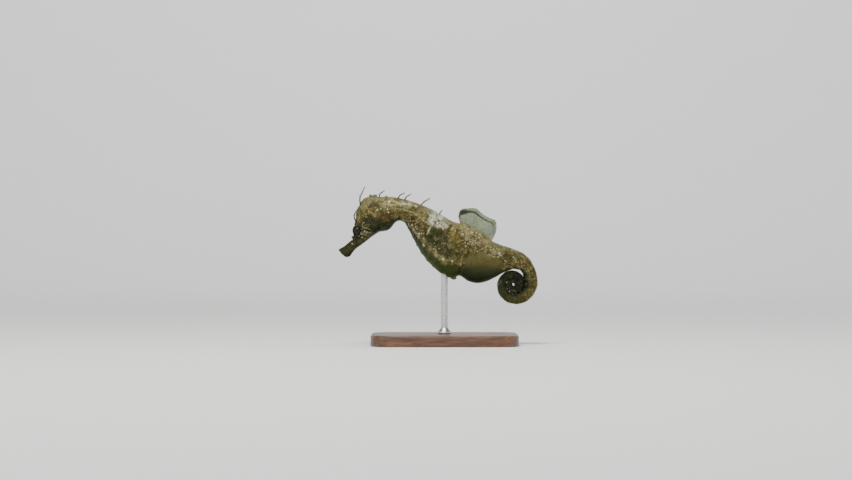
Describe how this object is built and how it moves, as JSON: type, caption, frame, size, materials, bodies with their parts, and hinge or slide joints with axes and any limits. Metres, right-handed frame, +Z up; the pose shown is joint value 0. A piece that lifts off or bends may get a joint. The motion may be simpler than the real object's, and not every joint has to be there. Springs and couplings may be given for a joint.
{
  "type": "long-snouted seahorse model on a display stand",
  "caption": "Life-size seahorse held level on a rod and flat base, snout dipped, dorsal fin spread, brood pouch full and tail rolled in a flat coil.",
  "frame": {"origin": "centre of the underside of the stand's base", "axes": "+Z up, -X the way the animal faces, -Y its left side, which the picture shows"},
  "size_m": [0.0895, 0.04, 0.0713],
  "materials": {
    "body_skin": "moist, mottled golden olive and cream",
    "snout_skin": "moist, dark olive",
    "pouch_skin": "smooth, moist, olive",
    "eye": "wet gloss",
    "fin": "thin, translucent",
    "filament": "fine skin filament",
    "stand_base": "oiled walnut",
    "stand_rod": "brushed"
  },
  "bodies": {
    "root": {"snout": "snout_skin", "head": "body_skin", "coronet": "body_skin", "neck": "body_skin", "trunk_front": "body_skin", "trunk_rear": "body_skin", "tail_base": "body_skin", "brood_pouch": "pouch_skin", "tail_bend": "body_skin", "tail_coil_outer": "body_skin", "tail_coil_middle": "body_skin", "tail_coil_inner": "body_skin", "tail_tip": "body_skin", "eye_left": "eye", "eye_right": "eye", "dorsal_fin": "fin", "anal_fin": "fin", "pectoral_fin_left": "fin", "pectoral_fin_right": "fin", "filament_brow_left": "filament", "filament_brow_right": "filament", "filament_crown_left": "filament", "filament_crown_right": "filament", "filament_temple_left": "filament", "filament_temple_right": "filament", "filament_nape_left": "filament", "filament_nape_right": "filament", "filament_neck_left": "filament", "filament_back_right": "filament", "stand_base": "stand_base", "stand_rod": "stand_rod"}
  },
  "joints": []
}
